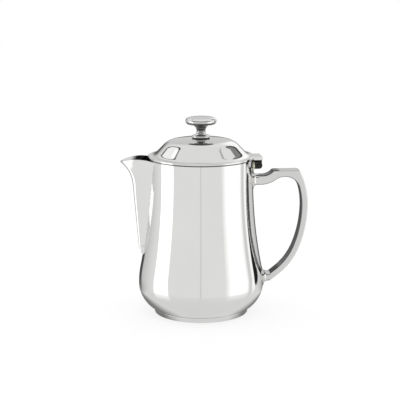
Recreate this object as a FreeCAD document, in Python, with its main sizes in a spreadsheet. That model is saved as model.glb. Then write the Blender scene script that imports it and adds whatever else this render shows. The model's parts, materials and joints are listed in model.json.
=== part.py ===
"""A one-litre coffee pot in polished stainless steel, with a beak spout, a loop handle and a hinged lid.

The pot stands on its foot ring at Z = 0, with the axis of the body along Z. The handle and the hinge
are on the +X side, the spout on the -X side, and the pot is the same on both sides of the XZ plane.
"""
import FreeCAD, Part
import math
import os
import re

import Sketcher
from FreeCAD import Placement, Rotation, Vector

# Driving sizes, in millimetres and degrees

SIZES = {
    # Body, a drawn sheet with a round bowl, a long waist and a straight mouth
    "shell_wall": 1.0,
    "floor_height": 4.5,
    "belly_radius": 56.3,
    "belly_height": 27.0,
    "bowl_radius": 26.3,
    "shoulder_radius": 72.0,
    "waist_step": 9.9,
    "mouth_height": 140.0,
    "mouth_band": 15.0,
    # Window in the body behind the spout, open at the mouth
    "window_overrun": 2.0,
    "window_depth": 66.0,
    "window_top_half_width": 12.6,
    "window_low_half_width": 2.2,
    "window_foot_drop": 1.6,
    # Foot ring
    "foot_inset": 1.4,
    "foot_wall": 1.4,
    "foot_flange": 7.0,
    "foot_edge": 0.5,
    # Spout, a keel that leans out and then flares into the lip
    "spout_wall": 1.2,
    "spout_back_depth": 8.4,
    "keel_height": 60.0,
    "keel_stand": 9.6,
    "keel_lean": 4.8,
    "keel_half_width": 3.4,
    "keel_nose": 2.4,
    "keel_drop": 10.0,
    "keel_foot_radius": 9.0,
    "keel_foot_turn": 60.0,
    "keel_foot_rise": 1.0,
    "flare_drop": 22.0,
    "flare_radius": 29.0,
    "flare_end": 72.0,
    "spout_half_width": 20.4,
    "lip_nose": 5.0,
    "rim_start_depth": 2.4,
    "rim_drop": 0.2,
    "rim_radius": 42.0,
    "lip_stand": 25.5,
    "lip_drop": 1.8,
    # Handle
    "handle_width": 12.0,
    "handle_thickness": 5.6,
    "handle_top_drop": 11.2,
    "handle_stand": 39.8,
    "back_drop": 32.8,
    "back_step": 8.3,
    "grip_radius": 104.0,
    "grip_turn": 21.5,
    "heel_radius": 58.0,
    "tail_length": 8.1,
    "rest_thickness": 6.1,
    "rest_run": 9.5,
    "stem_rise_stand": 8.6,
    "stem_top_drop": 4.5,
    "stem_depth": 8.4,
    "stem_flat": 1.8,
    "arch_radius": 14.0,
    "handle_inner_round": 0.7,
    "handle_outer_round": 1.0,
    "handle_corner_round": 2.0,
    # Flared roots of the handle
    "root_margin": 0.3,
    "root_corner": 2.6,
    "root_depth": 2.5,
    "upper_root_length": 5.1,
    "upper_root_flare": 3.4,
    "lower_root_length": 6.2,
    "lower_root_height": 30.4,
    "lower_root_flare": 3.6,
    # Hinge
    "pin_stand": 4.8,
    "pin_drop": 6.4,
    "pin_radius": 1.3,
    "pin_running_clearance": 0.05,
    "pin_head": 0.4,
    "knuckle_radius": 3.0,
    "knuckle_width": 7.4,
    "knuckle_side_clearance": 0.3,
    "leaf_width": 18.0,
    "bracket_width": 13.4,
    "bracket_plate": 1.2,
    "leaf_thickness": 2.9,
    "leaf_drop": 1.0,
    "leaf_round": 1.2,
    # Lid
    "lid_seat_gap": 0.3,
    "lid_overhang": 0.8,
    "hem_width": 2.0,
    "hem_height": 2.5,
    "hem_round": 0.8,
    "flange_width": 1.6,
    "cove_radius": 8.0,
    "dome_slope": 46.0,
    "dome_shoulder_inset": 13.7,
    "dome_shoulder_radius": 16.4,
    "crown_slope": 8.0,
    # Locating ring under the lid, open towards the hinge
    "ring_clearance": 0.8,
    "ring_wall": 1.0,
    "ring_depth": 2.7,
    "ring_arc": 260.0,
    # Knob, its collar, screw and washer
    "collar_radius": 8.3,
    "collar_bulge": 1.3,
    "collar_height": 2.8,
    "knob_seat_radius": 5.4,
    "knob_neck_radius": 3.9,
    "knob_neck_height": 3.4,
    "knob_flare": 6.0,
    "knob_cap_radius": 13.7,
    "knob_rim_radius": 3.0,
    "knob_crown_rise": 0.6,
    "screw_radius": 2.0,
    "screw_hole_clearance": 0.2,
    "screw_engagement": 7.0,
    "screw_head_radius": 3.6,
    "screw_head_height": 2.2,
    "washer_radius": 6.0,
    "washer_thickness": 1.0,
}

# Sizes that follow from the driving ones

WORKED = {
    # Body: the waist is two arcs, tangent to each other and upright at the belly and at the neck
    "neck_radius": "belly_radius - waist_step",
    "neck_height": "mouth_height - mouth_band",
    "bowl_centre": "belly_radius - bowl_radius",
    "bowl_foot": "bowl_centre + sqrt(bowl_radius^2 - (belly_height - floor_height)^2)",
    "inner_bowl": "bowl_radius - shell_wall",
    "inner_floor": "floor_height + shell_wall",
    "inner_bowl_foot": "bowl_centre + sqrt(inner_bowl^2 - (belly_height - inner_floor)^2)",
    "waist_rise": "neck_height - belly_height",
    "waist_sum": "(waist_step^2 + waist_rise^2) / (2 * waist_step)",
    "waist_radius": "waist_sum - shoulder_radius",
    "waist_join_reach": "belly_radius - shoulder_radius * waist_step / waist_sum",
    "waist_join_height": "belly_height + shoulder_radius * waist_rise / waist_sum",
    "inner_join_reach": "waist_join_reach - shell_wall * (waist_sum - waist_step) / waist_sum",
    "inner_join_height": "waist_join_height - shell_wall * waist_rise / waist_sum",
    "mouth_radius": "neck_radius - shell_wall",
    "window_top_height": "mouth_height + window_overrun",
    "window_low_height": "window_top_height - window_depth",
    "window_foot_radius": "(window_low_half_width^2 + window_foot_drop^2) / (2 * window_foot_drop)",
    # Foot ring
    "foot_radius": "bowl_foot - foot_inset",
    # Spout
    "spout_back": "neck_radius - spout_back_depth",
    "spout_low_height": "keel_height - keel_drop",
    "keel_reach": "neck_radius + keel_stand",
    "keel_foot_height": "keel_height + keel_foot_rise",
    "keel_foot_reach": "keel_reach + keel_foot_rise * tan(keel_lean)",
    "keel_foot_in": "keel_foot_reach - keel_foot_radius * (1 - cos(keel_foot_turn))",
    "keel_foot_low": "keel_foot_height - keel_foot_radius * sin(keel_foot_turn)",
    "flare_height": "mouth_height - flare_drop",
    "flare_start": "keel_reach + (flare_height - keel_height) * tan(keel_lean)",
    "rim_start": "neck_radius - rim_start_depth",
    "rim_height": "mouth_height - rim_drop",
    "lip_reach": "neck_radius + lip_stand",
    "lip_height": "mouth_height - lip_drop",
    # Handle: the outer edge is three tangent arcs below the thumb rest, then a straight tail
    "handle_top_height": "mouth_height - handle_top_drop",
    "handle_reach": "belly_radius + handle_stand",
    "handle_reach_height": "handle_top_height - back_drop",
    "handle_corner_reach": "handle_reach - back_step",
    "back_radius": "(back_drop^2 + back_step^2) / (2 * back_step)",
    "back_centre": "handle_reach - back_radius",
    "inner_back": "back_radius - handle_thickness",
    "inner_reach": "handle_reach - handle_thickness",
    "grip_centre": "handle_reach - grip_radius",
    "inner_grip": "grip_radius - handle_thickness",
    "grip_end_reach": "grip_centre + grip_radius * cos(grip_turn)",
    "grip_end_height": "handle_reach_height - grip_radius * sin(grip_turn)",
    "inner_grip_end_reach": "grip_centre + inner_grip * cos(grip_turn)",
    "inner_grip_end_height": "handle_reach_height - inner_grip * sin(grip_turn)",
    "heel_centre_reach": "grip_end_reach - heel_radius * cos(grip_turn)",
    "heel_centre_height": "grip_end_height + heel_radius * sin(grip_turn)",
    "inner_heel": "heel_radius - handle_thickness",
    "tail_end_reach": "belly_radius + lower_root_length",
    "heel_end_reach": "tail_end_reach + tail_length",
    "heel_run": "heel_end_reach - heel_centre_reach",
    "heel_fall": "sqrt(heel_radius^2 - heel_run^2)",
    "heel_end_height": "heel_centre_height - heel_fall",
    "inner_heel_end_reach": "heel_centre_reach + heel_run * inner_heel / heel_radius",
    "inner_heel_end_height": "heel_centre_height - heel_fall * inner_heel / heel_radius",
    "tail_low": "heel_end_height - (heel_end_reach - tail_end_reach) * heel_run / heel_fall",
    "tail_high": "inner_heel_end_height - (inner_heel_end_reach - tail_end_reach) * heel_run / heel_fall",
    # Handle: the arch under the thumb rest touches the inner edge and the round that falls to the stem
    "stem_end_reach": "neck_radius + upper_root_length",
    "stem_rise_reach": "neck_radius + stem_rise_stand",
    "stem_top_height": "handle_top_height - stem_top_drop",
    "stem_low_height": "stem_top_height - stem_depth",
    "stem_middle": "(stem_top_height + stem_low_height) / 2",
    "stem_low_reach": "stem_end_reach + stem_flat",
    "rest_reach": "stem_rise_reach + rest_run",
    "rest_radius": "(rest_run^2 + stem_top_drop^2) / (2 * stem_top_drop)",
    "arch_height": "handle_top_height - rest_thickness",
    "arch_centre_height": "arch_height - arch_radius",
    "arch_rise": "arch_centre_height - handle_reach_height",
    "arch_span": "inner_back - arch_radius",
    "arch_run": "sqrt(arch_span^2 - arch_rise^2)",
    "arch_centre_reach": "back_centre + arch_run",
    "arch_start_reach": "back_centre + inner_back * arch_run / arch_span",
    "arch_start_height": "handle_reach_height + inner_back * arch_rise / arch_span",
    "fall_run": "arch_centre_reach - stem_low_reach",
    "fall_drop": "stem_low_height - arch_centre_height",
    "fall_radius": "(fall_run^2 + fall_drop^2 - arch_radius^2) / (2 * (arch_radius - fall_drop))",
    "fall_share": "arch_radius / (arch_radius + fall_radius)",
    "arch_end_reach": "arch_centre_reach - fall_run * fall_share",
    "arch_end_height": "arch_centre_height + (fall_drop + fall_radius) * fall_share",
    # Hinge
    "pin_reach": "neck_radius + pin_stand",
    "pin_height": "mouth_height - pin_drop",
    "bracket_face": "neck_radius + bracket_plate",
    "slot_width": "knuckle_width + 2 * knuckle_side_clearance",
    "leaf_end": "pin_reach + knuckle_radius",
    # Lid
    "lid_radius": "neck_radius + lid_overhang",
    "hem_low": "mouth_height + lid_seat_gap",
    "flange_top": "hem_low + hem_height",
    "hem_inner": "lid_radius - hem_width",
    "leaf_top": "flange_top - leaf_drop",
    "leaf_low": "leaf_top - leaf_thickness",
    "cove_start": "lid_radius - flange_width",
    "cove_centre_height": "flange_top + cove_radius",
    "cove_under": "cove_radius + shell_wall",
    "cove_end_reach": "cove_start - cove_radius * sin(dome_slope)",
    "cove_end_height": "flange_top + cove_radius * (1 - cos(dome_slope))",
    "dome_shoulder_reach": "lid_radius - dome_shoulder_inset",
    "shoulder_height": "cove_end_height + (cove_end_reach - dome_shoulder_reach) * tan(dome_slope)",
    "crown_reach": "dome_shoulder_reach - dome_shoulder_radius * (sin(dome_slope) - sin(crown_slope))",
    "crown_edge_height": "shoulder_height + dome_shoulder_radius * (cos(crown_slope) - cos(dome_slope))",
    "crown_radius": "crown_reach / sin(crown_slope)",
    "crown_centre_height": "crown_edge_height - crown_radius * cos(crown_slope)",
    "crown_under": "crown_radius - shell_wall",
    "hem_under_height": "cove_centre_height - sqrt(cove_under^2 - (cove_start - hem_inner)^2)",
    "screw_hole": "screw_radius + screw_hole_clearance",
    "crown_hole_height": "crown_centre_height + sqrt(crown_radius^2 - screw_hole^2)",
    "crown_hole_under": "crown_centre_height + sqrt(crown_under^2 - screw_hole^2)",
    # Locating ring
    "ring_outer": "mouth_radius - ring_clearance",
    "ring_inner": "ring_outer - ring_wall",
    "ring_low": "mouth_height - ring_depth",
    "ring_outer_top": "cove_centre_height - sqrt(cove_under^2 - (cove_start - ring_outer)^2)",
    "ring_inner_top": "cove_centre_height - sqrt(cove_under^2 - (cove_start - ring_inner)^2)",
    # Knob
    "collar_foot": "collar_radius - collar_bulge",
    "collar_foot_height": "crown_centre_height + sqrt(crown_radius^2 - collar_foot^2)",
    "collar_top": "collar_foot_height + collar_height",
    "collar_edge": "(collar_height^2 / 4 + collar_bulge^2) / (2 * collar_bulge)",
    "neck_step": "knob_seat_radius - knob_neck_radius",
    "neck_curve": "(knob_neck_height^2 + neck_step^2) / (2 * neck_step)",
    "knob_neck_top": "collar_top + knob_neck_height",
    "cap_low": "knob_neck_top + knob_flare",
    "cap_middle": "cap_low + knob_rim_radius",
    "cap_high": "cap_middle + knob_rim_radius",
    "cap_edge": "knob_cap_radius - knob_rim_radius",
    "cap_crown": "(cap_edge^2 + knob_crown_rise^2) / (2 * knob_crown_rise)",
    "knob_top": "cap_high + knob_crown_rise",
    "washer_top": "crown_centre_height + sqrt(crown_under^2 - washer_radius^2)",
    "washer_low": "washer_top - washer_thickness",
    "screw_low": "washer_low - screw_head_height",
    "screw_head_step": "screw_head_radius - screw_radius",
    "screw_head_curve": "(screw_head_step^2 + screw_head_height^2) / (2 * screw_head_step)",
    "screw_top": "collar_top + screw_engagement",
}

doc = FreeCAD.newDocument("coffee_pot")
sizes = doc.addObject("Spreadsheet::Sheet", "sizes")
worked = doc.addObject("Spreadsheet::Sheet", "worked")
CELLS = {name: f"sizes.{name}" for name in SIZES}
CELLS.update({name: f"worked.{name}" for name in WORKED})


def tied(formula):
    """The formula with each named size written as its cell in the sheets."""
    return re.sub(r"[a-z_]+", lambda word: CELLS.get(word.group(), word.group()), formula)


def value(formula):
    """What the formula comes to now."""
    return float(sizes.evalExpression(tied(formula)))


for row, (name, size) in enumerate(SIZES.items(), start=1):
    sizes.set(f"A{row}", name)
    sizes.set(f"B{row}", str(size))
    sizes.setAlias(f"B{row}", name)
doc.recompute()
for row, (name, formula) in enumerate(WORKED.items(), start=1):
    worked.set(f"A{row}", name)
    worked.setAlias(f"B{row}", name)
    worked.set(f"B{row}", "=" + tied(formula))
    doc.recompute()


# Drawing helpers


def add_body(label):
    body = doc.addObject("PartDesign::Body", label)
    body.Label = label
    return body


def add_sketch(body, name, plane, lift=None):
    """A sketch on one of the body's own planes, lifted along the plane's normal by a formula."""
    sketch = body.newObject("Sketcher::SketchObject", name)
    support = [feature for feature in body.Origin.OriginFeatures if feature.Role == plane][0]
    sketch.AttachmentSupport = [(support, "")]
    sketch.MapMode = "FlatFace"
    if lift:
        sketch.setExpression("AttachmentOffset.Base.z", tied(lift))
    return sketch


def arc_between(start, end, radius, turn):
    """The shorter arc from start to end, bending left of its travel for turn 1 and right for turn -1."""
    chord = end - start
    left = Vector(-chord.y, chord.x, 0).normalize()
    offset = math.sqrt(max(radius**2 - chord.Length**2 / 4, 0))
    centre = (start + end) / 2 + left * (offset * turn)
    first, last = (start, end) if turn > 0 else (end, start)
    begin = math.atan2(first.y - centre.y, first.x - centre.x)
    finish = math.atan2(last.y - centre.y, last.x - centre.x)
    if finish < begin:
        finish += 2 * math.pi
    return Part.ArcOfCircle(Part.Circle(centre, Vector(0, 0, 1), radius), begin, finish)


def draw(sketch, corners):
    """Draw a closed outline whose corners and radii are tied to the sheets.

    A corner is (across, up) at the end of a straight side, or (across, up, radius, turn) at the end
    of an arc. The side of the first corner comes from the last one.
    """
    points = [Vector(value(corner[0]), value(corner[1]), 0) for corner in corners]
    ends = []
    for index, corner in enumerate(corners):
        start, end = points[index - 1], points[index]
        if len(corner) == 2:
            sketch.addGeometry(Part.LineSegment(start, end), False)
            ends.append((1, 2))
        else:
            sketch.addGeometry(arc_between(start, end, value(corner[2]), corner[3]), False)
            ends.append((1, 2) if corner[3] > 0 else (2, 1))
    ties = []
    constraints = []
    for index, corner in enumerate(corners):
        before = (index - 1) % len(corners)
        constraints.append(Sketcher.Constraint("Coincident", index, ends[index][0], before, ends[before][1]))
        for kind, formula in (("DistanceX", corner[0]), ("DistanceY", corner[1])):
            ties.append((len(constraints), formula))
            constraints.append(Sketcher.Constraint(kind, -1, 1, index, ends[index][1], value(formula)))
        if len(corner) > 2:
            ties.append((len(constraints), corner[2]))
            constraints.append(Sketcher.Constraint("Radius", index, value(corner[2])))
    sketch.addConstraint(constraints)
    for place, formula in ties:
        sketch.setExpression(f"Constraints[{place}]", tied(formula))
    doc.recompute()
    return sketch


def add_turned(body, kind, name, sketch, arc="360"):
    """A revolution or groove about Z, as an arc centred on the sketch's own half of its plane."""
    feature = body.newObject(f"PartDesign::{kind}", name)
    feature.Profile = sketch
    feature.ReferenceAxis = (sketch, ["V_Axis"])
    feature.Midplane = True
    feature.setExpression("Angle", tied(arc))
    doc.recompute()
    return feature


def add_through(body, kind, name, sketch, length):
    """A pad or pocket of the given length, half of it on each side of the sketch."""
    feature = body.newObject(f"PartDesign::{kind}", name)
    feature.Profile = sketch
    feature.Midplane = True
    feature.setExpression("Length", tied(length))
    doc.recompute()
    return feature


def body_outline():
    """The outside of the drawn body, from the middle of its floor up to the mouth."""
    return [
        ("0", "floor_height"),
        ("bowl_foot", "floor_height"),
        ("belly_radius", "belly_height", "bowl_radius", 1),
        ("waist_join_reach", "waist_join_height", "shoulder_radius", 1),
        ("neck_radius", "neck_height", "waist_radius", -1),
        ("neck_radius", "mouth_height"),
    ]


def trim_to_body(body):
    """Cut away whatever lies inside the outside of the drawn body, so the piece seats on it."""
    above_mouth = "mouth_height + spout_half_width"
    outline = body_outline()[:-1] + [("neck_radius", above_mouth), ("0", above_mouth)]
    sketch = draw(add_sketch(body, body.Label + "_seat", "XZ_Plane"), outline)
    return add_turned(body, "Groove", body.Label + "_seat_cut", sketch)


def round_edges(body, feature, name, chosen, radius):
    """A fillet on the edges of the feature that the test chooses."""
    shape = feature.Shape
    names = [f"Edge{number}" for number, edge in enumerate(shape.Edges, start=1) if chosen(shape, edge)]
    fillet = body.newObject("PartDesign::Fillet", name)
    fillet.Base = (feature, names)
    fillet.setExpression("Radius", tied(radius))
    doc.recompute()
    return fillet


# Body shell, drawn from one sheet with the floor in it


def make_body_shell():
    body = add_body("body_shell")
    outline = body_outline() + [
        ("mouth_radius", "mouth_height"),
        ("mouth_radius", "neck_height"),
        ("inner_join_reach", "inner_join_height", "waist_radius + shell_wall", 1),
        ("belly_radius - shell_wall", "belly_height", "shoulder_radius - shell_wall", -1),
        ("inner_bowl_foot", "inner_floor", "inner_bowl", -1),
        ("0", "inner_floor"),
    ]
    add_turned(body, "Revolution", "drawn_sheet", draw(add_sketch(body, "sheet", "XZ_Plane"), outline))
    window = draw(add_sketch(body, "window", "YZ_Plane", "-belly_radius / 2"), [
        ("-window_top_half_width", "window_top_height"),
        ("-window_low_half_width", "window_low_height"),
        ("window_low_half_width", "window_low_height", "window_foot_radius", 1),
        ("window_top_half_width", "window_top_height"),
    ])
    add_through(body, "Pocket", "window_cut", window, "belly_radius")
    return body


# Foot ring, pressed, with a flange under the floor


def make_foot_ring():
    body = add_body("foot_ring")
    sketch = draw(add_sketch(body, "ring_section", "XZ_Plane"), [
        ("foot_radius - foot_edge", "0"),
        ("foot_radius", "foot_edge", "foot_edge", 1),
        ("foot_radius", "floor_height"),
        ("foot_radius - foot_flange", "floor_height"),
        ("foot_radius - foot_flange", "floor_height - foot_wall"),
        ("foot_radius - foot_wall", "floor_height - foot_wall"),
        ("foot_radius - foot_wall", "foot_edge"),
        ("foot_radius - foot_wall + foot_edge", "0", "foot_edge", 1),
    ])
    add_turned(body, "Revolution", "pressed_ring", sketch)
    return body


# Spout, a V section that grows up the keel and opens into the lip

KEEL_STEPS = 8
FLARE_STEPS = 4
CLOSED_STEPS = 2


def spout_stations():
    """Height and reach of the keel at each section of the spout, from its foot to past the lip."""
    stations = []
    for step in range(KEEL_STEPS):
        share = step / KEEL_STEPS
        height = f"(spout_low_height + (flare_height - spout_low_height) * {share})"
        stations.append((height, f"(keel_reach + ({height} - keel_height) * tan(keel_lean))"))
    for step in range(FLARE_STEPS + 1):
        share = step / FLARE_STEPS
        lean = f"(keel_lean + (flare_end - keel_lean) * {share})"
        stations.append((f"(flare_height + flare_radius * (sin({lean}) - sin(keel_lean)))",
                         f"(flare_start + flare_radius * (cos(keel_lean) - cos({lean})))"))
    return stations


def spout_section(body, name, height, reach, wall):
    """One level section: a round nose and two straight flanks that end inside the body.

    The nose and the flanks move in by the wall, square to themselves.
    """
    share = f"(({height} - keel_height) / (mouth_height - keel_height))"
    nose = f"(keel_nose + (lip_nose - keel_nose) * {share})"
    half_width = f"(keel_half_width + (spout_half_width - keel_half_width) * {share})"
    run = f"({reach} - {nose} - spout_back)"
    span = f"({run}^2 + {half_width}^2)"
    tangent = f"sqrt({span} - {nose}^2)"
    touch_in = f"(({tangent} * {half_width} - {nose} * {run}) / {span})"
    touch_up = f"(({nose} * {half_width} + {tangent} * {run}) / {span})"
    round_nose = f"({nose} - {wall})"
    touch_reach = f"-({reach} - {nose}) - {round_nose} * {touch_in}"
    back_half_width = f"({half_width} - {wall} / {touch_up})"
    return draw(add_sketch(body, name, "XY_Plane", height), [
        ("-spout_back", f"-{back_half_width}"),
        ("-spout_back", back_half_width),
        (touch_reach, f"{round_nose} * {touch_up}"),
        (f"-({reach} - {wall})", "0", round_nose, 1),
        (touch_reach, f"-{round_nose} * {touch_up}", round_nose, 1),
    ])


def add_spout_loft(body, kind, name, stations, wall):
    sections = [spout_section(body, f"{name}_{number}", height, reach, wall)
                for number, (height, reach) in enumerate(stations)]
    loft = body.newObject(f"PartDesign::{kind}", name)
    loft.Profile = sections[0]
    loft.Sections = sections[1:]
    doc.recompute()
    return loft


def make_spout():
    body = add_body("spout")
    stations = spout_stations()
    add_spout_loft(body, "AdditiveLoft", "beak", stations, "0")
    add_spout_loft(body, "SubtractiveLoft", "channel", stations[CLOSED_STEPS:], "spout_wall")
    trim_to_body(body)
    far_out = "-lip_reach - flare_radius"
    high_up = "mouth_height + flare_radius"
    rim = draw(add_sketch(body, "rim", "XZ_Plane"), [
        ("-spout_back", high_up),
        ("-spout_back", "rim_height"),
        ("-rim_start", "rim_height"),
        ("-lip_reach", "lip_height", "rim_radius", 1),
        (far_out, "lip_height"),
        (far_out, high_up),
    ])
    add_through(body, "Pocket", "rim_cut", rim, "4 * spout_half_width")
    low_down = "spout_low_height - keel_foot_radius"
    foot = draw(add_sketch(body, "keel_foot", "XZ_Plane"), [
        (far_out, "keel_foot_height"),
        (far_out, low_down),
        ("-spout_back", low_down),
        ("-spout_back", "keel_foot_low"),
        ("-keel_foot_in", "keel_foot_low"),
        ("-keel_foot_reach", "keel_foot_height", "keel_foot_radius", -1),
    ])
    add_through(body, "Pocket", "keel_foot_cut", foot, "4 * spout_half_width")
    return body


# Handle, cast, with a flat thumb rest

TOUCHING = 1e-3


def make_handle():
    body = add_body("handle")
    outline = draw(add_sketch(body, "side_view", "XZ_Plane"), [
        ("tail_end_reach", "tail_high"),
        ("tail_end_reach", "tail_low"),
        ("heel_end_reach", "heel_end_height"),
        ("grip_end_reach", "grip_end_height", "heel_radius", 1),
        ("handle_reach", "handle_reach_height", "grip_radius", 1),
        ("handle_corner_reach", "handle_top_height", "back_radius", 1),
        ("rest_reach", "handle_top_height"),
        ("stem_rise_reach", "stem_top_height", "rest_radius", -1),
        ("stem_end_reach", "stem_top_height"),
        ("stem_end_reach", "stem_low_height"),
        ("stem_low_reach", "stem_low_height"),
        ("arch_end_reach", "arch_end_height", "fall_radius", 1),
        ("arch_centre_reach", "arch_height", "arch_radius", -1),
        ("arch_start_reach", "arch_start_height", "arch_radius", -1),
        ("inner_reach", "handle_reach_height", "inner_back", -1),
        ("inner_grip_end_reach", "inner_grip_end_height", "inner_grip", -1),
        ("inner_heel_end_reach", "inner_heel_end_height", "inner_heel", -1),
    ])
    cast = add_through(body, "Pad", "casting", outline, "handle_width")
    cast = round_edges(body, cast, "rest_corners", is_rest_corner, "handle_corner_round")
    cast = round_edges(body, cast, "outer_edges", is_outer_edge, "handle_outer_round")
    round_edges(body, cast, "inner_edges", is_inner_edge, "handle_inner_round")
    return body


def is_rest_corner(shape, edge):
    """An edge across the handle at an end of the thumb rest."""
    return edge.BoundBox.YLength > TOUCHING and edge.BoundBox.ZMin > value("handle_top_height") - TOUCHING


def is_side_edge(edge):
    """An edge along the handle, where one of its flat sides ends."""
    ends = (value("tail_end_reach"), value("stem_end_reach"))
    at_an_end = any(abs(edge.CenterOfMass.x - end) < TOUCHING for end in ends)
    on_a_side = abs(abs(edge.CenterOfMass.y) - value("handle_width") / 2) < TOUCHING
    return on_a_side and not at_an_end


def is_inner_edge(shape, edge):
    """A side edge whose narrow face looks into the finger gap."""
    if not is_side_edge(edge):
        return False
    middle = edge.valueAt((edge.FirstParameter + edge.LastParameter) / 2)
    gap = Vector(value("tail_end_reach"), 0, value("handle_reach_height"))
    for face in shape.ancestorsOfType(edge, Part.Face):
        normal = face.normalAt(*face.Surface.parameter(middle))
        if abs(normal.y) < TOUCHING and normal.dot(gap - middle) > 0:
            return True
    return False


def is_outer_edge(shape, edge):
    return is_side_edge(edge) and not is_inner_edge(shape, edge)


# Flared roots between the handle and the body

ROOT_STEPS = 4


def root_section(body, name, reach, height, tall, wide, grow):
    """An upright rounded rectangle across the root, grown outwards all round."""
    corner = f"(root_corner + {grow})"
    side = f"({wide} / 2 + {grow})"
    high = f"({tall} / 2 + {grow})"
    flat = f"({side} - {corner})"
    straight = f"({high} - {corner})"
    return draw(add_sketch(body, name, "YZ_Plane", reach), [
        (side, f"{height} + {straight}"),
        (flat, f"{height} + {high}", corner, 1),
        (f"-{flat}", f"{height} + {high}"),
        (f"-{side}", f"{height} + {straight}", corner, 1),
        (f"-{side}", f"{height} - {straight}"),
        (f"-{flat}", f"{height} - {high}", corner, 1),
        (flat, f"{height} - {high}"),
        (side, f"{height} - {straight}", corner, 1),
    ])


def make_root(label, end_reach, end_low, end_high, wall_reach, wall_height, flare):
    """A root that runs from the end of the handle and flares, as a hollow round, onto the wall."""
    body = add_body(label)
    tall = f"({end_high} - {end_low} + 2 * root_margin)"
    wide = "(handle_width + 2 * root_margin)"
    end_height = f"(({end_low} + {end_high}) / 2)"
    places = [(f"({wall_reach} - root_depth)", flare)]
    for step in range(ROOT_STEPS + 1):
        angle = 90 * step / ROOT_STEPS
        places.append((f"({wall_reach} + {flare} * (1 - cos({angle})))", f"({flare} * (1 - sin({angle})))"))
    places.append((end_reach, "0"))
    sections = []
    for number, (reach, grow) in enumerate(places):
        share = f"(({reach} - {wall_reach}) / ({end_reach} - {wall_reach}))"
        height = f"({wall_height} + ({end_height} - {wall_height}) * {share})"
        sections.append(root_section(body, f"{label}_{number}", reach, height, tall, wide, grow))
    loft = body.newObject("PartDesign::AdditiveLoft", label + "_trumpet")
    loft.Profile = sections[0]
    loft.Sections = sections[1:]
    loft.Ruled = True
    doc.recompute()
    trim_to_body(body)
    return body


# Hinge: a bracket with two lugs on the body, and a leaf with one knuckle on the lid


def add_pin_hole(body, radius):
    sketch = add_sketch(body, body.Label + "_hole", "XZ_Plane")
    centre = Vector(value("pin_reach"), value("pin_height"), 0)
    sketch.addGeometry(Part.Circle(centre, Vector(0, 0, 1), value(radius)), False)
    sketch.addConstraint([
        Sketcher.Constraint("DistanceX", -1, 1, 0, 3, centre.x),
        Sketcher.Constraint("DistanceY", -1, 1, 0, 3, centre.y),
        Sketcher.Constraint("Radius", 0, value(radius)),
    ])
    for place, formula in enumerate(("pin_reach", "pin_height", radius)):
        sketch.setExpression(f"Constraints[{place}]", tied(formula))
    doc.recompute()
    return add_through(body, "Pocket", body.Label + "_bore", sketch, "2 * bracket_width")


def make_hinge_bracket():
    body = add_body("hinge_bracket")
    lugs = draw(add_sketch(body, "lug_outline", "XZ_Plane"), [
        ("mouth_radius - bracket_plate", "pin_height + knuckle_radius"),
        ("mouth_radius - bracket_plate", "pin_height - knuckle_radius"),
        ("pin_reach", "pin_height - knuckle_radius"),
        ("pin_reach + knuckle_radius", "pin_height", "knuckle_radius", 1),
        ("pin_reach", "pin_height + knuckle_radius", "knuckle_radius", 1),
    ])
    add_through(body, "Pad", "lugs", lugs, "bracket_width")
    slot = draw(add_sketch(body, "slot_outline", "XZ_Plane"), [
        ("bracket_face", "pin_height + 2 * knuckle_radius"),
        ("bracket_face", "pin_height - 2 * knuckle_radius"),
        ("pin_reach + 2 * knuckle_radius", "pin_height - 2 * knuckle_radius"),
        ("pin_reach + 2 * knuckle_radius", "pin_height + 2 * knuckle_radius"),
    ])
    add_through(body, "Pocket", "slot", slot, "slot_width")
    add_pin_hole(body, "pin_radius")
    trim_to_body(body)
    return body


def make_hinge_pin():
    pin = doc.addObject("Part::Cylinder", "hinge_pin")
    pin.Label = "hinge_pin"
    pin.Placement = Placement(Vector(0, 0, 0), Rotation(Vector(1, 0, 0), -90))
    pin.setExpression("Radius", tied("pin_radius"))
    pin.setExpression("Height", tied("bracket_width + 2 * pin_head"))
    pin.setExpression("Placement.Base.x", tied("pin_reach"))
    pin.setExpression("Placement.Base.y", tied("-bracket_width / 2 - pin_head"))
    pin.setExpression("Placement.Base.z", tied("pin_height"))
    doc.recompute()
    return pin


def make_lid_hinge_leaf():
    body = add_body("lid_hinge_leaf")
    bar = draw(add_sketch(body, "bar_outline", "XZ_Plane"), [
        ("hem_inner", "leaf_top"),
        ("hem_inner", "leaf_low"),
        ("leaf_end", "leaf_low"),
        ("leaf_end", "leaf_top - leaf_round"),
        ("leaf_end - leaf_round", "leaf_top", "leaf_round", 1),
    ])
    add_through(body, "Pad", "bar", bar, "leaf_width")
    knuckle = draw(add_sketch(body, "knuckle_outline", "XZ_Plane"), [
        ("pin_reach - knuckle_radius", "leaf_low + leaf_thickness / 2"),
        ("pin_reach - knuckle_radius", "pin_height"),
        ("pin_reach", "pin_height - knuckle_radius", "knuckle_radius", 1),
        ("pin_reach + knuckle_radius", "pin_height", "knuckle_radius", 1),
        ("pin_reach + knuckle_radius", "leaf_low + leaf_thickness / 2"),
    ])
    add_through(body, "Pad", "knuckle", knuckle, "knuckle_width")
    add_pin_hole(body, "pin_radius + pin_running_clearance")
    rim = draw(add_sketch(body, "lid_edge", "XZ_Plane"), [
        ("0", "leaf_low - leaf_thickness"),
        ("lid_radius", "leaf_low - leaf_thickness"),
        ("lid_radius", "leaf_top + leaf_thickness"),
        ("0", "leaf_top + leaf_thickness"),
    ])
    add_turned(body, "Groove", "lid_edge_cut", rim)
    return body


# Lid, a drawn dome with a flat flange and a hemmed edge


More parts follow.
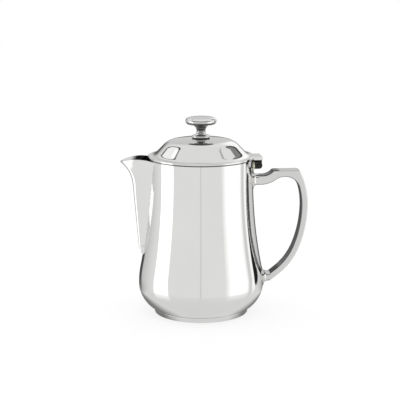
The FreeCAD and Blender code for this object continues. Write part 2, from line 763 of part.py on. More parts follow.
def make_lid_shell():
    body = add_body("lid_shell")
    sheet = draw(add_sketch(body, "dome", "XZ_Plane"), [
        ("screw_hole", "crown_hole_height"),
        ("crown_reach", "crown_edge_height", "crown_radius", -1),
        ("dome_shoulder_reach", "shoulder_height", "dome_shoulder_radius", -1),
        ("cove_end_reach", "cove_end_height"),
        ("cove_start", "flange_top", "cove_radius", 1),
        ("lid_radius - hem_round", "flange_top"),
        ("lid_radius", "flange_top - hem_round", "hem_round", -1),
        ("lid_radius", "hem_low"),
        ("hem_inner", "hem_low"),
        ("hem_inner", "hem_under_height"),
        ("cove_end_reach - shell_wall * sin(dome_slope)",
         "cove_end_height - shell_wall * cos(dome_slope)", "cove_under", -1),
        ("dome_shoulder_reach - shell_wall * sin(dome_slope)",
         "shoulder_height - shell_wall * cos(dome_slope)"),
        ("crown_reach - shell_wall * sin(crown_slope)",
         "crown_edge_height - shell_wall * cos(crown_slope)", "dome_shoulder_radius - shell_wall", 1),
        ("screw_hole", "crown_hole_under", "crown_under", 1),
    ])
    add_turned(body, "Revolution", "drawn_dome", sheet)
    return body


def make_lid_locating_ring():
    body = add_body("lid_locating_ring")
    section = draw(add_sketch(body, "ring", "XZ_Plane"), [
        ("-ring_outer", "ring_outer_top", "cove_under", -1),
        ("-ring_outer", "ring_low"),
        ("-ring_inner", "ring_low"),
        ("-ring_inner", "ring_inner_top"),
    ])
    add_turned(body, "Revolution", "open_ring", section, "ring_arc")
    return body


# Knob and what holds it


def make_knob_collar():
    body = add_body("knob_collar")
    disc = draw(add_sketch(body, "disc", "XZ_Plane"), [
        ("screw_hole", "crown_hole_height"),
        ("collar_foot", "collar_foot_height", "crown_radius", -1),
        ("collar_foot", "collar_top", "collar_edge", 1),
        ("screw_hole", "collar_top"),
    ])
    add_turned(body, "Revolution", "turned_disc", disc)
    return body


def make_knob():
    body = add_body("knob")
    section = draw(add_sketch(body, "mushroom", "XZ_Plane"), [
        ("screw_radius", "collar_top"),
        ("knob_seat_radius", "collar_top"),
        ("knob_neck_radius", "knob_neck_top", "neck_curve", -1),
        ("knob_neck_radius + knob_flare", "cap_low", "knob_flare", -1),
        ("cap_edge", "cap_low"),
        ("knob_cap_radius", "cap_middle", "knob_rim_radius", 1),
        ("cap_edge", "cap_high", "knob_rim_radius", 1),
        ("0", "knob_top", "cap_crown", 1),
        ("0", "screw_top"),
        ("screw_radius", "screw_top"),
    ])
    add_turned(body, "Revolution", "turned_knob", section)
    return body


def make_knob_washer():
    body = add_body("knob_washer")
    section = draw(add_sketch(body, "washer", "XZ_Plane"), [
        ("screw_hole", "washer_low"),
        ("washer_radius", "washer_low"),
        ("washer_radius", "washer_top"),
        ("screw_hole", "washer_top"),
    ])
    add_turned(body, "Revolution", "stamped_washer", section)
    return body


def make_knob_screw():
    body = add_body("knob_screw")
    section = draw(add_sketch(body, "screw", "XZ_Plane"), [
        ("0", "screw_low"),
        ("screw_radius", "screw_low"),
        ("screw_head_radius", "washer_low", "screw_head_curve", 1),
        ("screw_radius", "washer_low"),
        ("screw_radius", "screw_top"),
        ("0", "screw_top"),
    ])
    add_turned(body, "Revolution", "turned_screw", section)
    return body


pieces = [
    make_body_shell(),
    make_foot_ring(),
    make_spout(),
    make_handle(),
    make_root("upper_handle_socket", "stem_end_reach", "stem_low_height", "stem_top_height",
              "neck_radius", "stem_middle", "upper_root_flare"),
    make_root("lower_handle_socket", "tail_end_reach", "tail_low", "tail_high",
              "belly_radius", "lower_root_height", "lower_root_flare"),
    make_hinge_bracket(),
    make_hinge_pin(),
    make_lid_shell(),
    make_lid_locating_ring(),
    make_lid_hinge_leaf(),
    make_knob(),
    make_knob_collar(),
    make_knob_washer(),
    make_knob_screw(),
]

# Check and write every piece

doc.recompute()
failed = [item.Label for item in doc.Objects if "Invalid" in item.State or "Error" in item.State]
unsound = [piece.Label for piece in pieces
           if piece.Shape.isNull() or not piece.Shape.isValid() or len(piece.Shape.Solids) != 1]
if failed or unsound:
    raise RuntimeError(f"did not compute: {failed}, not one sound solid: {unsound}")
os.makedirs("parts", exist_ok=True)
for piece in pieces:
    piece.Shape.exportStep(f"parts/{piece.Label}.step")
    print(piece.Label, round(piece.Shape.Volume, 1))
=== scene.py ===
"""A one-litre coffee pot in mirror-polished stainless steel, on a pale floor in a light tent."""
import json
import math

import bpy
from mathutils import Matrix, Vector


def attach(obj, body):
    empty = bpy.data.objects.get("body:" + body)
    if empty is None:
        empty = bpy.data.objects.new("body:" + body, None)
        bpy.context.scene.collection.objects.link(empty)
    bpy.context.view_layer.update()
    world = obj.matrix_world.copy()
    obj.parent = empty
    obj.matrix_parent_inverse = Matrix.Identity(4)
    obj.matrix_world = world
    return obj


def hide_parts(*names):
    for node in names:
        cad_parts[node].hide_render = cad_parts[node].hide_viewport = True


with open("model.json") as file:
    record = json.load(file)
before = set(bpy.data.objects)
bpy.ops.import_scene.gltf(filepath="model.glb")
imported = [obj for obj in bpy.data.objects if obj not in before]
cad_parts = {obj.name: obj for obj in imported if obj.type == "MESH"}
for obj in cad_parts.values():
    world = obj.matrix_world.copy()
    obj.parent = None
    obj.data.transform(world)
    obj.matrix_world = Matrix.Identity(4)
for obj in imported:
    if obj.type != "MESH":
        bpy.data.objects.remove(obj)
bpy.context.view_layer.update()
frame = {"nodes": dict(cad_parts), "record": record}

nodes = frame["nodes"]

# Body shell: one sheet of stainless steel, drawn and spun to a pear shape with its floor in it, then
# buffed to a mirror. The wheel leaves hair lines round it. Inside it keeps the satin of the spinning.

PATCH_SCALE = 22.0
PATCH_DETAIL = 3.0
PATCH_RANGE = (0.3, 0.7)
HAIR_DETAIL = 4.0
HAIR_SHARE = 0.6
HAZE_RANGE = (0.3, 0.72)
HAIR_STRENGTH = 0.15


def link(tree, source, target):
    """Join an output to an input."""
    tree.links.new(source, target)


def add_math(tree, operation, first, second=0.0, clamp=False):
    """One sum of two inputs, each a socket or a number."""
    node = tree.nodes.new("ShaderNodeMath")
    node.operation = operation
    node.use_clamp = clamp
    for place, item in enumerate((first, second)):
        if isinstance(item, (int, float)):
            node.inputs[place].default_value = item
        else:
            link(tree, item, node.inputs[place])
    return node.outputs[0]


def add_vector_math(tree, operation, first, second, output):
    """One sum of two vectors, each a socket or three numbers."""
    node = tree.nodes.new("ShaderNodeVectorMath")
    node.operation = operation
    for place, item in enumerate((first, second)):
        if isinstance(item, tuple):
            node.inputs[place].default_value = item
        else:
            link(tree, item, node.inputs[place])
    return node.outputs[output]


def add_noise(tree, place, scale, detail):
    """Soft noise over a place, from 0 to 1."""
    node = tree.nodes.new("ShaderNodeTexNoise")
    node.inputs["Scale"].default_value = scale
    node.inputs["Detail"].default_value = detail
    link(tree, place, node.inputs["Vector"])
    return node.outputs["Fac"]


def add_ramp(tree, value, stops):
    """A ramp between two stops, each a position and a grey or three numbers."""
    node = tree.nodes.new("ShaderNodeValToRGB")
    for element, (position, shade) in zip(node.color_ramp.elements, stops):
        element.position = position
        element.color = (*shade, 1) if isinstance(shade, tuple) else (shade, shade, shade, 1)
    link(tree, value, node.inputs["Fac"])
    return node.outputs["Color"]


def mix_colours(tree, share, first, second):
    """From the first colour to the second by a share, each colour a socket, a grey or three numbers."""
    node = tree.nodes.new("ShaderNodeMix")
    node.data_type = "RGBA"
    for name, item in (("Factor", share), ("A", first), ("B", second)):
        socket = next(each for each in node.inputs if each.name == name and each.enabled)
        if isinstance(item, float):
            socket.default_value = (item, item, item, 1)
        elif isinstance(item, tuple):
            socket.default_value = (*item, 1)
        else:
            link(tree, item, socket)
    return next(each for each in node.outputs if each.enabled)


def add_range(tree, value, low, high, to_low=0.0, to_high=1.0, curve="LINEAR"):
    """A value from low to high, spread from to_low to to_high and held there beyond them."""
    node = tree.nodes.new("ShaderNodeMapRange")
    node.interpolation_type = curve
    for name, number in (("From Min", low), ("From Max", high), ("To Min", to_low), ("To Max", to_high)):
        node.inputs[name].default_value = number
    link(tree, value, node.inputs["Value"])
    return node.outputs["Result"]


def add_axes(tree, vector):
    """The three parts of a vector, by the names X, Y and Z."""
    node = tree.nodes.new("ShaderNodeSeparateXYZ")
    link(tree, vector, node.inputs["Vector"])
    return node.outputs


def faces_towards(middle, weights, reach):
    """Where faces look towards a middle, so the buffing wheel can't reach them, or where shade is painted on
    them.
    """
    def find(tree, place, normal):
        away = add_vector_math(tree, "SUBTRACT", place, middle, "Vector")
        away = add_vector_math(tree, "MULTIPLY", away, weights, "Vector")
        return add_range(tree, add_vector_math(tree, "DOT_PRODUCT", away, normal, "Value"), 0.0, -reach)
    return find


def steel(name, light, dark, sheen, haze, hair_scale, hair_depth, *unbuffed):
    """Steel with hair lines across the stretched axes of hair_scale, and haze in soft patches.

    Each of the last arguments is (find, shade, dullness, film): where the wheel didn't reach and the finish
    that was left there, or where the colour is darkened as painted shade. Its shade is a colour, or (axis,
    low, low grey, high, high grey), and its film is the share of pale oxide.
    """
    material = bpy.data.materials.new(name)
    material.use_nodes = True
    tree = material.node_tree
    shader = tree.nodes["Principled BSDF"]
    texture = tree.nodes.new("ShaderNodeTexCoord")
    place = texture.outputs["Object"]
    patches = add_noise(tree, place, PATCH_SCALE, PATCH_DETAIL)
    colour = add_ramp(tree, patches, zip(PATCH_RANGE, (dark, light)))
    stretch = tree.nodes.new("ShaderNodeMapping")
    stretch.inputs["Scale"].default_value = hair_scale
    link(tree, place, stretch.inputs["Vector"])
    hairs = add_noise(tree, stretch.outputs["Vector"], 1.0, HAIR_DETAIL)
    wear = add_math(tree, "ADD", add_math(tree, "MULTIPLY", hairs, HAIR_SHARE),
                    add_math(tree, "MULTIPLY", patches, 1 - HAIR_SHARE))
    rough = add_ramp(tree, wear, zip(HAZE_RANGE, (sheen, haze)))
    shader.inputs["Metallic"].default_value = 1.0
    # Some entries darken the colour as painted shade, not as a finish the wheel left.
    for find, shade, dullness, film in unbuffed:
        missed = find(tree, place, texture.outputs["Normal"])
        if isinstance(shade[0], str):
            axis, low, low_grey, high, high_grey = shade
            shade = add_range(tree, add_axes(tree, place)[axis], low, high, low_grey, high_grey)
        colour = mix_colours(tree, missed, colour, shade)
        rough = mix_colours(tree, missed, rough, dullness)
        if film:
            link(tree, add_math(tree, "SUBTRACT", 1.0, add_math(tree, "MULTIPLY", missed, film)),
                 shader.inputs["Metallic"])
    link(tree, colour, shader.inputs["Base Color"])
    link(tree, rough, shader.inputs["Roughness"])
    bump = tree.nodes.new("ShaderNodeBump")
    bump.inputs["Strength"].default_value = HAIR_STRENGTH
    bump.inputs["Distance"].default_value = hair_depth
    link(tree, hairs, bump.inputs["Height"])
    link(tree, bump.outputs["Normal"], shader.inputs["Normal"])
    return material


def finish_node(name, material):
    """Give the CAD solid of that name its finish."""
    nodes[name].data.materials.clear()
    nodes[name].data.materials.append(material)


MIRROR = ((0.715, 0.712, 0.703), (0.690, 0.687, 0.680))
ROUND_THE_AXIS = (60, 60, 2600)
POLISH = 1e-6
BRIGHT = (0.03, 0.06)
SPUN_SATIN = (0.60, 0.60, 0.59)
INSIDE_SATIN = (SPUN_SATIN, 0.3, 0.6)
inside_the_body = faces_towards(middle=(0, 0, 0.08), weights=(1, 1, 0.6), reach=0.002)
finish_node("body_shell", steel("body_steel", *MIRROR, *BRIGHT, ROUND_THE_AXIS, POLISH,
                                (inside_the_body, *INSIDE_SATIN)))

# Foot ring: a low ring pressed from the same sheet and buffed, with its flange brazed under the floor.
# The braze shows as a pale bead in the corner under the body, slightly lumpy and brightened by the wheel.

FOOT_BEAD_RADIUS = 0.0426
FOOT_BEAD_HEIGHT = 0.0041
BEAD_THICKNESS = 0.0005
BEAD_LUMPS = 0.006
BEAD_LUMP_DEPTH = 0.00012
BEAD_STEPS = 3
FOOT_BEAD_STEPS = 192
BUFFED_BRAZE = ((0.88, 0.88, 0.86), (0.78, 0.78, 0.76))
BUFFED_SHEEN = (0.12, 0.22)
WORN = (0.04, 0.08)
FOOT_SATIN = (SPUN_SATIN, 0.3, 0.4)
BRAZE_METAL = 0.45
BRAZE_FLOW = (900.0, 4.0)
BRAZE_COLOURS = [(0.3, (0.52, 0.50, 0.38)), (0.65, (0.82, 0.80, 0.66))]
BRAZE_SHEEN = [(0.3, 0.5), (0.7, 0.28)]
BRAZE_RIPPLE = (0.4, 5e-5)
inside_the_foot = faces_towards(middle=(0, 0, 0.02), weights=(1, 1, 0), reach=0.002)
finish_node("foot_ring", steel("foot_steel", *MIRROR, *WORN, ROUND_THE_AXIS, POLISH,
                               (inside_the_foot, *FOOT_SATIN)))
braze = bpy.data.materials.new("silver_braze")
braze.use_nodes = True
alloy = braze.node_tree
flow = add_noise(alloy, alloy.nodes.new("ShaderNodeTexCoord").outputs["Object"], *BRAZE_FLOW)
alloy_shader = alloy.nodes["Principled BSDF"]
alloy_shader.inputs["Metallic"].default_value = BRAZE_METAL
link(alloy, add_ramp(alloy, flow, BRAZE_COLOURS), alloy_shader.inputs["Base Color"])
link(alloy, add_ramp(alloy, flow, BRAZE_SHEEN), alloy_shader.inputs["Roughness"])
ripple = alloy.nodes.new("ShaderNodeBump")
ripple.inputs["Strength"].default_value, ripple.inputs["Distance"].default_value = BRAZE_RIPPLE
link(alloy, flow, ripple.inputs["Height"])
link(alloy, ripple.outputs["Normal"], alloy_shader.inputs["Normal"])


def start_piece(add, stretch=(1, 1, 1), **where):
    """Add a primitive with nothing else selected, stretched along its axes, with its place in its mesh."""
    bpy.ops.object.select_all(action="DESELECT")
    add(**where)
    piece = bpy.context.object
    piece.scale = stretch
    bpy.ops.object.transform_apply(location=True, rotation=True, scale=True)
    return piece


def apply_modifier(piece, kind, **settings):
    """Give the active piece a modifier with its settings, and apply it."""
    modifier = piece.modifiers.new(kind.lower(), kind)
    for setting, value in settings.items():
        setattr(modifier, setting, value)
    bpy.ops.object.modifier_apply(modifier=modifier.name)


def settle(piece, name, material, body):
    """Name a finished piece, give it its material, and let it ride on its body."""
    bpy.ops.object.shade_smooth()
    piece.name = piece.data.name = name
    piece.data.materials.clear()
    piece.data.materials.append(material)
    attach(piece, body)


def lump(piece):
    """Let the braze flow unevenly along its seam."""
    clouds = bpy.data.textures.new("braze_flow", "CLOUDS")
    clouds.noise_scale = BEAD_LUMPS
    apply_modifier(piece, "DISPLACE", texture=clouds, texture_coords="OBJECT", strength=BEAD_LUMP_DEPTH)


def lay_bead(name, thickness, material):
    """Turn the selected ring of edges into a bead of braze that rides on the pot."""
    bpy.ops.object.convert(target="CURVE")
    seam = bpy.context.object
    seam.data.bevel_depth = thickness
    seam.data.bevel_resolution = BEAD_STEPS
    bpy.ops.object.convert(target="MESH")
    bead = bpy.context.object
    lump(bead)
    settle(bead, name, material, "pot")


buffed_braze = steel("buffed_braze", *BUFFED_BRAZE, *BUFFED_SHEEN, ROUND_THE_AXIS, POLISH)
start_piece(bpy.ops.mesh.primitive_circle_add, vertices=FOOT_BEAD_STEPS, radius=FOOT_BEAD_RADIUS,
            location=(0, 0, FOOT_BEAD_HEIGHT))
lay_bead("foot_bead", BEAD_THICKNESS, buffed_braze)

# Spout: a V-shaped beak, pressed in two halves from sheet, welded along its keel and brazed over the
# window. Its outside is a mirror with hair lines up its length. The channel inside is only pickled to a dull
# finish, and its colour goes from pale grey at the lip to near black towards the body as painted shade.

UP_THE_KEEL = (1500, 1500, 40)
# The channel's colour darkens towards the body as painted shade; its dull roughness is the real pickled
# finish.
PICKLED = (("X", -0.0615, 0.55, -0.0565, 0.03), 0.16, 0.0)
inside_the_spout = faces_towards(middle=(-0.048, 0, 0.1), weights=(1, 1, 0), reach=0.001)
finish_node("spout", steel("spout_steel", *MIRROR, *BRIGHT, UP_THE_KEEL, POLISH,
                           (inside_the_spout, *PICKLED)))

# Handle: a solid loop cast in stainless steel, ground and buffed lengthwise. It has a flat thumb rest at
# its top corner, a stem to the neck of the body and a tail to the belly. Inside the loop it is only ground,
# and its colour there is darkened as painted shade. The stem's upper side under the hinge is painted near
# black as shade.

ALONG_THE_LOOP = (60, 2200, 60)
CAST_MIRROR = ((0.630, 0.627, 0.618), (0.590, 0.587, 0.580))
SADDLE_END = (0.068, 0.071)
SADDLE_SLOPE = (0.3, 0.6)
# A near-black colour painted as shade, on the handle's saddle and the leaf's knuckle.
TORCH_GREY = (0.03, 0.03, 0.03)
SADDLE_TORCHED = (TORCH_GREY, 0.2, 0.0)
# Inside the loop the colour is darkened as painted shade; its dull roughness is the real ground finish.
LOOP_GROUND = ((0.25, 0.25, 0.25), 0.38, 0.0)
CAST_SHEEN = (0.03, 0.07)
inside_the_loop = faces_towards(middle=(0.066, 0, 0.082), weights=(1, 0, 1), reach=0.004)


def in_saddle(tree, place, normal):
    """Where the stem's upper side dips under the hinge, which is painted near black as shade."""
    upward = add_range(tree, add_axes(tree, normal)["Z"], *SADDLE_SLOPE)
    near_the_neck = add_range(tree, add_axes(tree, place)["X"], *SADDLE_END, 1.0, 0.0)
    return add_math(tree, "MULTIPLY", upward, near_the_neck)


finish_node("handle", steel("handle_steel", *CAST_MIRROR, *CAST_SHEEN, ALONG_THE_LOOP, POLISH,
                            (inside_the_loop, *LOOP_GROUND), (in_saddle, *SADDLE_TORCHED)))

# Handle sockets: two flared roots of cast steel that carry the handle's ends. Each is brazed to the body
# all round, and the bead of braze was left as it flowed.

ROOT_BEADS = [("upper_root_bead", 0.1201, 0.0094, 0.0077), ("lower_root_bead", 0.0304, 0.0096, 0.0072)]
ROOT_BEAD_START = 0.07
ROOT_BEAD_THICKNESS = 0.0007
ROOT_BEAD_STEPS = 96
QUARTER_TURN = math.radians(90)
root_steel = steel("root_steel", *CAST_MIRROR, *WORN, ALONG_THE_LOOP, POLISH)
finish_node("upper_handle_socket", root_steel)
finish_node("lower_handle_socket", root_steel)
for name, height, half_width, half_height in ROOT_BEADS:
    ring = start_piece(bpy.ops.mesh.primitive_circle_add, vertices=ROOT_BEAD_STEPS, radius=1.0,
                       location=(ROOT_BEAD_START, 0, height), rotation=(0, QUARTER_TURN, 0),
                       stretch=(half_height, half_width, 1))
    apply_modifier(ring, "SHRINKWRAP", target=nodes["body_shell"], wrap_method="PROJECT", use_project_x=True,
                   use_project_z=False, use_negative_direction=True, use_positive_direction=False)
    lay_bead(name, ROOT_BEAD_THICKNESS, braze)

# Hinge bracket and pin: a steel plate with two lugs, brazed to the neck, and the pin that is riveted over
# at both lugs. Their near-black colour is painted shade behind the lid, and nobody buffs there.

HINGE_AXIS = frame["record"]["behaviour"]["joints"][0]["pos_m"]
LUG_FACE = 0.0067
RIVET_RADIUS = 0.0019
RIVET_RISE = 0.42
RIVET_SINK = 0.00005
RIVET_STEPS = {"segments": 48, "ring_count": 24}
CUT_SNAP = 1e-7
PLATE_BEAD = (0.0465, 0.0068, 0.1330)
PLATE_BEAD_RADIUS = 0.0009
PLATE_BEAD_STRETCH = 4.4
PLATE_BEAD_STEPS = {"segments": 32, "ring_count": 32}
# The hinge's near-black colour is painted shade behind the lid.
SCALE_BLACK = ((0.050, 0.048, 0.046), (0.018, 0.018, 0.018))
SCALE_SHEEN = (0.28, 0.5)
SCALE_GRAIN = (300, 300, 300)
SCALE_DEPTH = 2e-5
scaled_steel = steel("torch_black_steel", *SCALE_BLACK, *SCALE_SHEEN, SCALE_GRAIN, SCALE_DEPTH)
finish_node("hinge_bracket", scaled_steel)
finish_node("hinge_pin", scaled_steel)
for name, side in (("near", -1), ("far", 1)):
    head = start_piece(bpy.ops.mesh.primitive_uv_sphere_add, **RIVET_STEPS, radius=RIVET_RADIUS,
                       location=(HINGE_AXIS[0], side * (LUG_FACE - RIVET_SINK), HINGE_AXIS[2]),
                       stretch=(1, RIVET_RISE, 1))
    bpy.ops.object.mode_set(mode="EDIT")
    bpy.ops.mesh.select_all(action="SELECT")
    bpy.ops.mesh.bisect(plane_co=(0, side * LUG_FACE, 0), plane_no=(0, side, 0), use_fill=True,
                        clear_inner=True, threshold=CUT_SNAP)
    bpy.ops.object.mode_set(mode="OBJECT")
    settle(head, f"{name}_rivet", scaled_steel, "pot")
    drop = start_piece(bpy.ops.mesh.primitive_uv_sphere_add, **PLATE_BEAD_STEPS,
                       radius=PLATE_BEAD_RADIUS, stretch=(1, 1, PLATE_BEAD_STRETCH),
                       location=(PLATE_BEAD[0], side * PLATE_BEAD[1], PLATE_BEAD[2]))
    lump(drop)
    settle(drop, f"{name}_plate_bead", braze, "pot")

# Lid: an ogee dome spun from sheet, with a hemmed edge whose low edge is painted dark as the shadow of its
# gap, and a mirror outside.
# Underneath it keeps the spinning's satin, and a plain ring, spot-welded there, centres it in the mouth.

TURNED_SATIN = ((0.60, 0.60, 0.59), (0.52, 0.52, 0.51))
HEM_LOW = (0.1408, 0.1416)
HEM_OUTWARD = (-0.6, -0.3)
# A dark line painted on the hem's low edge as the shadow of the gap at the mouth.
HEM_GRIME = ((0.1, 0.1, 0.1), 0.2, 0.0)
LID_SATIN = (SPUN_SATIN, 0.3, 0.45)
TURNED_SHEEN = (0.2, 0.34)
TURNED_DEPTH = 4e-6
looks_down = faces_towards(middle=(0, 0, 0.1), weights=(0, 0, 1), reach=0.03)


def hem_edge(tree, place, normal):
    """The low edge of the hem, where the lid meets the mouth and a shadow line is painted."""
    outward = add_range(tree, add_axes(tree, normal)["Z"], *HEM_OUTWARD)
    low = add_range(tree, add_axes(tree, place)["Z"], *HEM_LOW, 1.0, 0.0)
    return add_math(tree, "MULTIPLY", outward, low)


finish_node("lid_shell", steel("lid_steel", *MIRROR, *BRIGHT, ROUND_THE_AXIS, POLISH,
                               (looks_down, *LID_SATIN), (hem_edge, *HEM_GRIME)))
finish_node("lid_locating_ring", steel("ring_steel", *TURNED_SATIN, *TURNED_SHEEN, ROUND_THE_AXIS,
                                       TURNED_DEPTH))

# Hinge leaf: a flat bar of cast steel on the lid's edge, with the middle knuckle under it. Its top and
# sides are buffed, and the knuckle is painted near black as shade under the bar.

BAR_LOW = (0.1378, 0.1384)
LEAF_SHEEN = (0.04, 0.1)
# The knuckle's near-black colour is painted shade under the bar.
KNUCKLE_TORCHED = (TORCH_GREY, 0.35, 0.0)


def below_the_bar(tree, place, normal):
    """Where the leaf's knuckle hangs under its bar."""
    return add_range(tree, add_axes(tree, place)["Z"], *BAR_LOW, 1.0, 0.0)


finish_node("lid_hinge_leaf", steel("leaf_steel", *MIRROR, *LEAF_SHEEN, ALONG_THE_LOOP, POLISH,
                                    (below_the_bar, *KNUCKLE_TORCHED)))

# Knob, collar, washer and screw: the mushroom knob and its collar are turned from bar and buffed, a little
# less in the hollow under the cap, where the neck and the undersides of the cap and collar are painted dark
# grey as shade. A slotted screw with a washer holds them from inside the lid.

# A dark grey painted as shade on the knob's neck and on the undersides of the cap and collar.
TURNED_GREY = ((0.16, 0.16, 0.16), 0.1, 0.0)
NECK_TOP = (0.1690, 0.1705)
NECK_LOW = (0.1632, 0.1644)
SCREW_HEAD_RADIUS = 0.0036
SCREW_HEAD_HEIGHT = 0.0022
SCREW_HEAD_LOW = 0.15403
SCREW_EDGE = 0.0004
SLOT_HALF_WIDTH = 0.00045
SLOT_HALF_LENGTH = 0.0028
SLOT_DEPTH = 0.0009
SCREW_STEPS = 64
SCREW_EDGE_STEPS = 3
SCREW_SHEEN = (0.16, 0.3)
ACROSS_THE_SCREW = (1200, 200, 200)
ACROSS_THE_WASHER = (200, 1800, 200)
FLAT_DOWN = -0.9
SHARP_EDGE = math.radians(35)


def under_the_cap(tree, place, normal):
    """Where the neck stands in the shade of the cap, and the cap's own underside."""
    height = add_axes(tree, place)["Z"]
    above = add_range(tree, height, *NECK_LOW)
    below = add_range(tree, height, *NECK_TOP, 1.0, 0.0)
    neck = add_math(tree, "MULTIPLY", above, below)
    return add_math(tree, "MAXIMUM", neck, looks_down(tree, place, normal))


finish_node("knob", steel("knob_steel", *MIRROR, *BRIGHT, ROUND_THE_AXIS, POLISH,
                          (under_the_cap, *TURNED_GREY)))
finish_node("knob_collar", steel("collar_steel", *MIRROR, *BRIGHT, ROUND_THE_AXIS, POLISH,
                                 (looks_down, *TURNED_GREY)))
finish_node("knob_washer", steel("washer_steel", *TURNED_SATIN, *TURNED_SHEEN, ACROSS_THE_WASHER,
                                 TURNED_DEPTH))
screw_steel = steel("screw_steel", *TURNED_SATIN, *SCREW_SHEEN, ACROSS_THE_SCREW, TURNED_DEPTH)
screw = start_piece(bpy.ops.mesh.primitive_cylinder_add, vertices=SCREW_STEPS, radius=SCREW_HEAD_RADIUS,
                    depth=SCREW_HEAD_HEIGHT, location=(0, 0, SCREW_HEAD_LOW + SCREW_HEAD_HEIGHT / 2))
bpy.ops.object.mode_set(mode="EDIT")
bpy.ops.mesh.select_mode(type="EDGE")
bpy.ops.mesh.select_all(action="DESELECT")
bpy.ops.object.mode_set(mode="OBJECT")
for edge in screw.data.edges:
    ends = [screw.data.vertices[place].co for place in edge.vertices]
    edge.select = all(end.z < SCREW_HEAD_LOW + SCREW_EDGE for end in ends)
bpy.ops.object.mode_set(mode="EDIT")
bpy.ops.mesh.bevel(offset=SCREW_EDGE, segments=SCREW_EDGE_STEPS)
for line in (-1, 1):
    for reach, way in ((SLOT_HALF_WIDTH, (0, 1, 0)), (SLOT_HALF_LENGTH, (1, 0, 0))):
        bpy.ops.mesh.select_all(action="SELECT")
        bpy.ops.mesh.bisect(plane_co=tuple(line * reach * each for each in way), plane_no=way)
bpy.ops.mesh.select_mode(type="FACE")
bpy.ops.mesh.select_all(action="DESELECT")
bpy.ops.object.mode_set(mode="OBJECT")
for face in screw.data.polygons:
    face.select = (face.normal.z < FLAT_DOWN and abs(face.center.x) < SLOT_HALF_LENGTH
                   and abs(face.center.y) < SLOT_HALF_WIDTH)
bpy.ops.object.mode_set(mode="EDIT")
bpy.ops.mesh.extrude_region_move(TRANSFORM_OT_translate={"value": (0, 0, SLOT_DEPTH)})
bpy.ops.object.mode_set(mode="OBJECT")
settle(screw, "slotted_screw", screw_steel, "lid")
bpy.ops.object.shade_smooth_by_angle(angle=SHARP_EDGE)
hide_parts("knob_screw")

# Studio: a white light tent, with a soft box on each side, dark cards and a dark room behind. The camera sees
# plain white. The metal sees the same white with the panels in it, each a rounded patch of the sky round the
# pot: (side, turn, half width, rise, half height, soft edge, brightness), with its angles in degrees.

FRONT, BACK = -1.0, 1.0
ALL_ROUND = 400
CORNER_POWER = 2.3
TENT_CLOTH = 1.0
PANELS = [
    (BACK, 0, 50, -14, 36, 22, 0.62),
    (BACK, 0, 15, 20, 26, 9, 0.72),
    (BACK, 28, 13, 22, 15, 6, 1.3),
    (BACK, 2, 34, -30, 32, 5, 0.1),
    (BACK, -15, 14, -20, 33, 4, 0.08),
    (FRONT, -10, 52, -10, 72, 2, 1.0),
    (FRONT, -85.5, 17.2, -24, 56, 1.2, 1.9),
    (FRONT, 68, 23, -24, 64, 9, 1.55),
    (FRONT, 97, 4, -10, 34, 3, 0.85),
    (FRONT, 107, 4.5, -10, 34, 2, 1.35),
    (FRONT, 0, ALL_ROUND, 90, 32, 7, 0.98),
    (FRONT, 85, 36, 58, 1.3, 0.9, 0.5),
    (FRONT, -124.5, 25, 36, 20.5, 1, 0.02),
    (FRONT, -124.5, 20.5, 36, 16.8, 1, 1.2),
    (FRONT, -115, 5, 43, 8, 3, 1.9),
    (FRONT, 130, 11.5, 31, 16, 1, 0.03),
    (FRONT, 126.5, 8.5, 31, 14, 1.5, 0.3),
    (FRONT, -6.5, 1.2, -10, 50, 0.8, 0.82),
    (FRONT, -6.5, 95, 24, 13, 2, 0.05),
    (FRONT, 115, 5.5, -6, 6.5, 1.2, 0.02),
    (FRONT, 119.5, 6, -1, 11, 1.2, 0.02),
]


def panel_share(tree, turn, rise, middle_turn, half_width, middle_rise, half_height, soft):
    """1 within a patch with rounded corners and 0 outside it, with a soft edge, all in degrees."""
    parts = []
    for angle, middle, half in ((turn, middle_turn, half_width), (rise, middle_rise, half_height)):
        away = add_math(tree, "ABSOLUTE", add_math(tree, "SUBTRACT", angle, middle))
        parts.append(add_math(tree, "POWER", add_math(tree, "DIVIDE", away, half), CORNER_POWER))
    reach = add_math(tree, "POWER", add_math(tree, "ADD", *parts), 1 / CORNER_POWER)
    blur = soft / min(half_width, half_height)
    return add_range(tree, reach, 1 + blur, 1 - blur, curve="SMOOTHSTEP")


world = bpy.data.worlds.new("light_tent")
bpy.context.scene.world = world
world.use_nodes = True
tent = world.node_tree
way = add_axes(tent, tent.nodes.new("ShaderNodeTexCoord").outputs["Generated"])
turns = {}
for side in (FRONT, BACK):
    turn = add_math(tent, "ARCTAN2", way["X"], add_math(tent, "MULTIPLY", way["Y"], side))
    turns[side] = add_math(tent, "MULTIPLY", turn, math.degrees(1))
rise = add_math(tent, "MULTIPLY", add_math(tent, "ARCSINE", way["Z"]), math.degrees(1))
cloth = TENT_CLOTH
for side, turn, half_width, height, half_height, soft, brightness in PANELS:
    share = panel_share(tent, turns[side], rise, turn, half_width, height, half_height, soft)
    cloth = mix_colours(tent, share, cloth, brightness)
seen = tent.nodes.new("ShaderNodeLightPath")
plain = add_math(tent, "ADD", seen.outputs["Is Camera Ray"], seen.outputs["Is Transmission Ray"], clamp=True)
link(tent, mix_colours(tent, plain, cloth, 1.0), tent.nodes["Background"].inputs["Color"])

# Floor: a pale sweep of paper that keeps the pot's soft shadow. The metal sees it near the foot, dimmer at
# the sides as painted shade of the pot on it, and further out it sees the panels that stand below it.

FLOOR_SIDE = 6.0
PAPER_WHITE = (0.85, 0.85, 0.85, 1)
FLOOR_SEEN_RADIUS = 0.13
FLOOR_SEEN_EDGE = 0.05
FLOOR_SHARE = 0.7
FLOOR_SEEN_SHARE = 0.95
FLOOR_GLOW = 1.15
FLOOR_SEEN_GLOW = 0.92
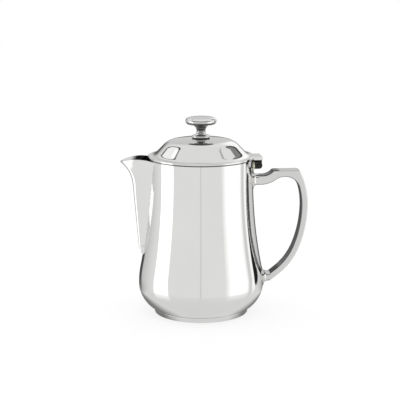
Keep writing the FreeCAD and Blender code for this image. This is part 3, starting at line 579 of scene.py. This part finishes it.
# Near the foot, at the sides, the glow that the metal sees is turned down as painted shade of the pot.
FLOOR_DIM_RADII = (0.045, 0.085)
FLOOR_DIM_TURNS = (30.0, 100.0)
FLOOR_DIM_FADE = 30.0
FLOOR_DIM_GLOW = 0.25
bpy.ops.object.select_all(action="DESELECT")
bpy.ops.mesh.primitive_plane_add(size=FLOOR_SIDE, location=(0, 0, 0))
floor = bpy.context.object
floor.name = "floor"
paper = bpy.data.materials.new("white_paper")
paper.use_nodes = True
sheet = paper.node_tree
sheet.nodes.remove(sheet.nodes["Principled BSDF"])
matt = sheet.nodes.new("ShaderNodeBsdfDiffuse")
matt.inputs["Color"].default_value = PAPER_WHITE
glow = sheet.nodes.new("ShaderNodeEmission")
clear = sheet.nodes.new("ShaderNodeBsdfTransparent")
lit = sheet.nodes.new("ShaderNodeMixShader")
whole = sheet.nodes.new("ShaderNodeMixShader")
eye = sheet.nodes.new("ShaderNodeLightPath").outputs
shown = add_math(sheet, "ADD", eye["Is Camera Ray"], eye["Is Transmission Ray"], clamp=True)
glow_share = add_math(sheet, "ADD", add_math(sheet, "MULTIPLY", shown, FLOOR_SHARE),
                      add_math(sheet, "MULTIPLY", eye["Is Glossy Ray"], FLOOR_SEEN_SHARE))
where = sheet.nodes.new("ShaderNodeTexCoord").outputs["Object"]
radius = add_vector_math(sheet, "DISTANCE", where, (0, 0, 0), "Value")
across = add_axes(sheet, where)
turn = add_math(sheet, "ARCTAN2", across["X"], add_math(sheet, "MULTIPLY", across["Y"], FRONT))
turn = add_math(sheet, "MULTIPLY", add_math(sheet, "ABSOLUTE", turn), math.degrees(1))
past_the_lit_turn = add_math(sheet, "SUBTRACT", turn,
                             add_range(sheet, radius, *FLOOR_DIM_RADII, *FLOOR_DIM_TURNS))
dimmed_by = add_range(sheet, past_the_lit_turn, 0.0, FLOOR_DIM_FADE,
                      FLOOR_GLOW - FLOOR_SEEN_GLOW, FLOOR_GLOW - FLOOR_DIM_GLOW)
dimmed_by = add_math(sheet, "MULTIPLY", eye["Is Glossy Ray"], dimmed_by)
beyond = add_range(sheet, radius, FLOOR_SEEN_RADIUS - FLOOR_SEEN_EDGE, FLOOR_SEEN_RADIUS + FLOOR_SEEN_EDGE)
link(sheet, add_math(sheet, "SUBTRACT", FLOOR_GLOW, dimmed_by), glow.inputs["Strength"])
link(sheet, glow_share, lit.inputs["Fac"])
link(sheet, matt.outputs["BSDF"], lit.inputs[1])
link(sheet, glow.outputs["Emission"], lit.inputs[2])
link(sheet, add_math(sheet, "MULTIPLY", eye["Is Glossy Ray"], beyond), whole.inputs["Fac"])
link(sheet, lit.outputs["Shader"], whole.inputs[1])
link(sheet, clear.outputs["BSDF"], whole.inputs[2])
link(sheet, whole.outputs["Shader"], sheet.nodes["Material Output"].inputs["Surface"])
floor.data.materials.append(paper)

# Camera: a long lens a little above the lid, turned slightly towards the spout.

CAMERA_TURN = math.radians(-6.0)
CAMERA_RISE = math.radians(13.1)
CAMERA_DISTANCE = 1.1
AIM = Vector((0, 0, 0.075))
FOCAL_LENGTH = 110.0
FILM_WIDTH = 36.0
SHIFT = (-0.0025, 0.0736)
lens = bpy.data.cameras.new("camera")
lens.lens = FOCAL_LENGTH
lens.sensor_width = FILM_WIDTH
lens.shift_x, lens.shift_y = SHIFT
camera = bpy.data.objects.new("camera", lens)
bpy.context.scene.collection.objects.link(camera)
back = Vector((math.sin(CAMERA_TURN) * math.cos(CAMERA_RISE), -math.cos(CAMERA_TURN) * math.cos(CAMERA_RISE),
               math.sin(CAMERA_RISE)))
camera.location = AIM + back * CAMERA_DISTANCE
camera.rotation_mode = "QUATERNION"
camera.rotation_quaternion = (-back).to_track_quat("-Z", "Y")
bpy.context.scene.camera = camera
bpy.context.scene.view_settings.view_transform = "Standard"

bpy.context.view_layer.update()
